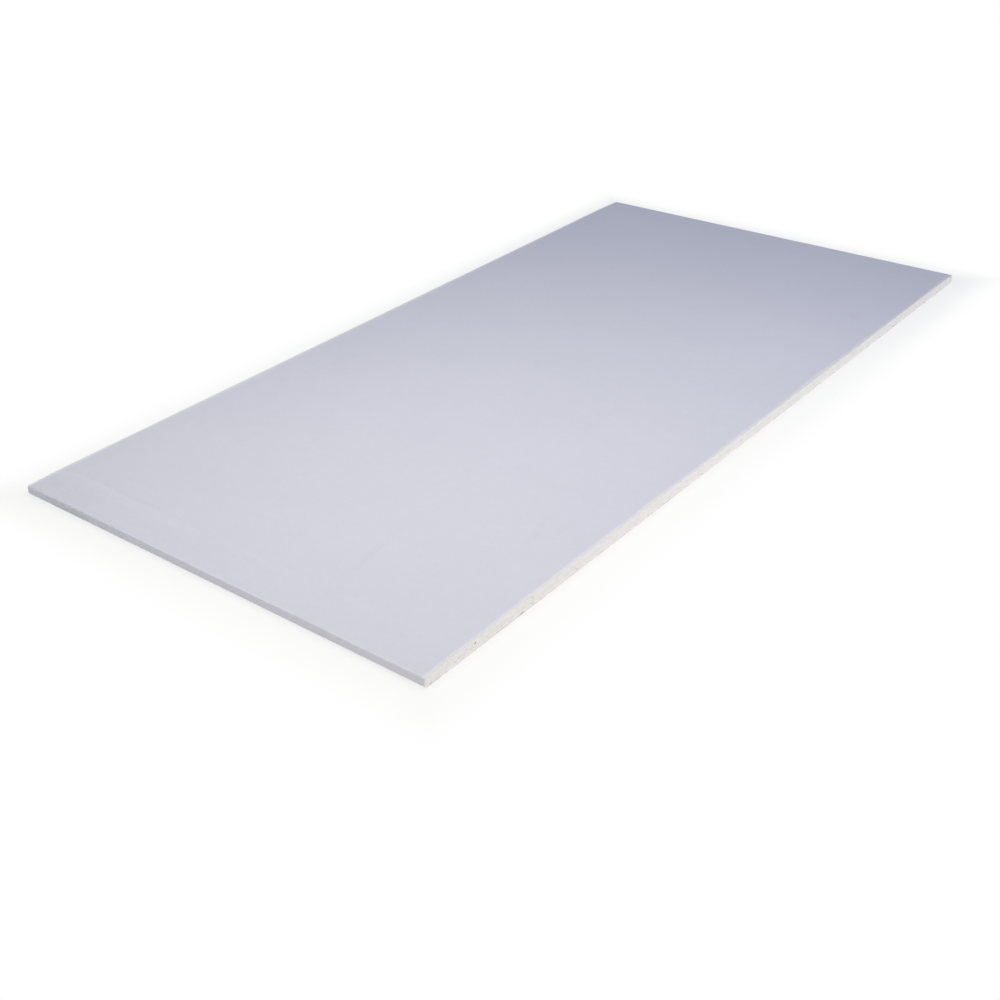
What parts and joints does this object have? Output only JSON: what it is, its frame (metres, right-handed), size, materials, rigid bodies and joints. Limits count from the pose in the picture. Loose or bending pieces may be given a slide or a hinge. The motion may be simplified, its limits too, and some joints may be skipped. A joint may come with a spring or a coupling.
{
  "type": "drywall sheet",
  "caption": "Flat drywall sheet: gypsum core between a face paper wrapped round tapered bound edges and a plain back paper, cut along its long sides.",
  "frame": {"origin": "under the middle of the sheet, on the plane of the back paper that it lies on", "axes": "+X from one bound edge to the other (the long way), +Y from one cut edge to the other, +Z out of the face"},
  "size_m": [1.2, 0.6, 0.0125],
  "materials": {
    "gypsum": "matte",
    "face_paper": "matte",
    "back_paper": "matte"
  },
  "bodies": {
    "root": {"gypsum_core": "gypsum", "face_paper": "face_paper", "back_paper": "back_paper"}
  },
  "joints": []
}
